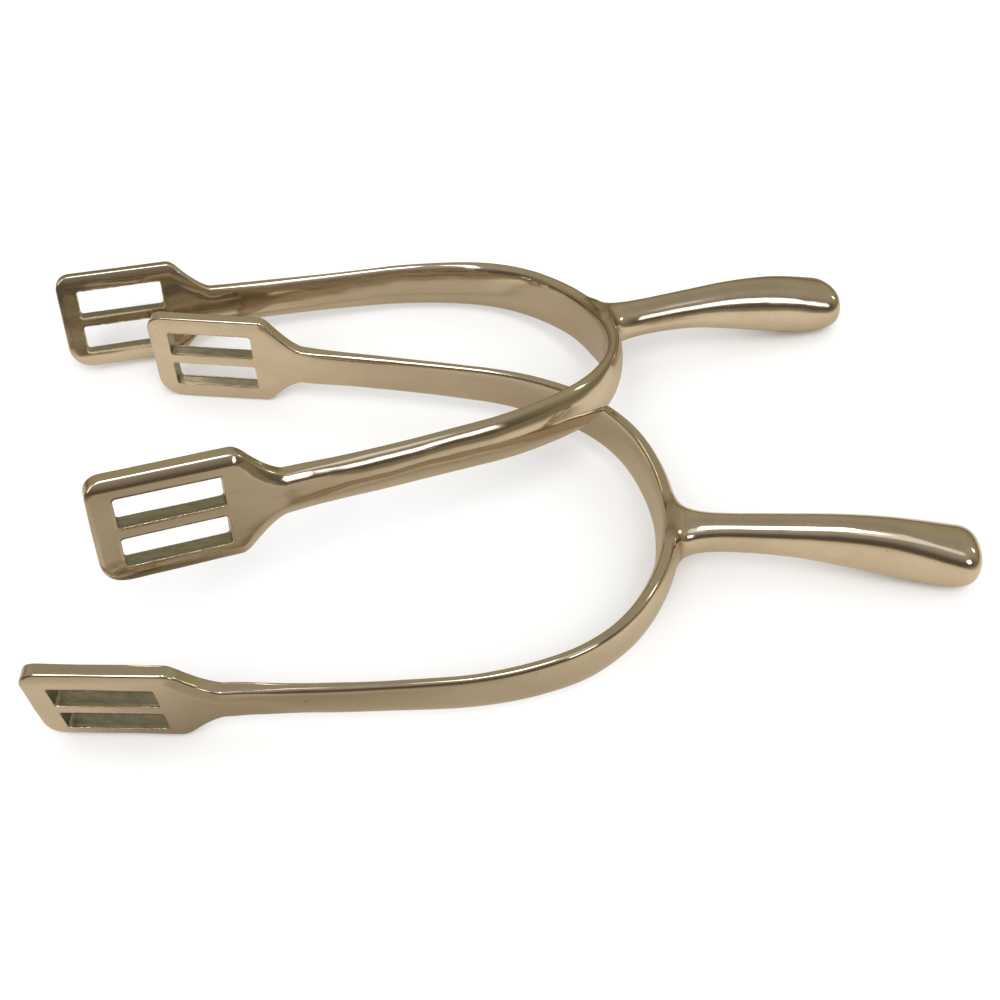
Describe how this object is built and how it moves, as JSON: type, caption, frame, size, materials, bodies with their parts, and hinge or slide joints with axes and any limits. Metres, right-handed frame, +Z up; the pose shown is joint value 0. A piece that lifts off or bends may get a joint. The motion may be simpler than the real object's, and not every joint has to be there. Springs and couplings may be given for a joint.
{
  "type": "riding spurs",
  "caption": "Blunt-necked riding spurs with U-shaped heel bands and slotted strap plates, laid one across the other.",
  "frame": {"origin": "middle of the footprint of both spurs as they lie, on the surface that they rest on", "axes": "+X along the lower spur's neck, away from the boot; +Y to the wearer's right of the lower spur; +Z up"},
  "size_m": [0.1836, 0.1192, 0.0436],
  "materials": {
    "polished_metal": "warm polished nickel or stainless steel, with fine polishing lines and light wear",
    "cast_metal": "the same warm metal, polished over a slightly uneven casting, duller inside the slots"
  },
  "bodies": {
    "lower_spur": {"lower_spur_heel_band": "polished_metal", "lower_spur_left_strap_plate": "cast_metal", "lower_spur_right_strap_plate": "cast_metal", "lower_spur_neck": "polished_metal"},
    "upper_spur": {"upper_spur_heel_band": "polished_metal", "upper_spur_left_strap_plate": "cast_metal", "upper_spur_right_strap_plate": "cast_metal", "upper_spur_neck": "polished_metal"}
  },
  "joints": [
    {"name": "upper_spur_lift", "type": "slide", "parent": "lower_spur", "child": "upper_spur", "axis": [0, 0, 1], "range_m": [0, 0.06]}
  ]
}
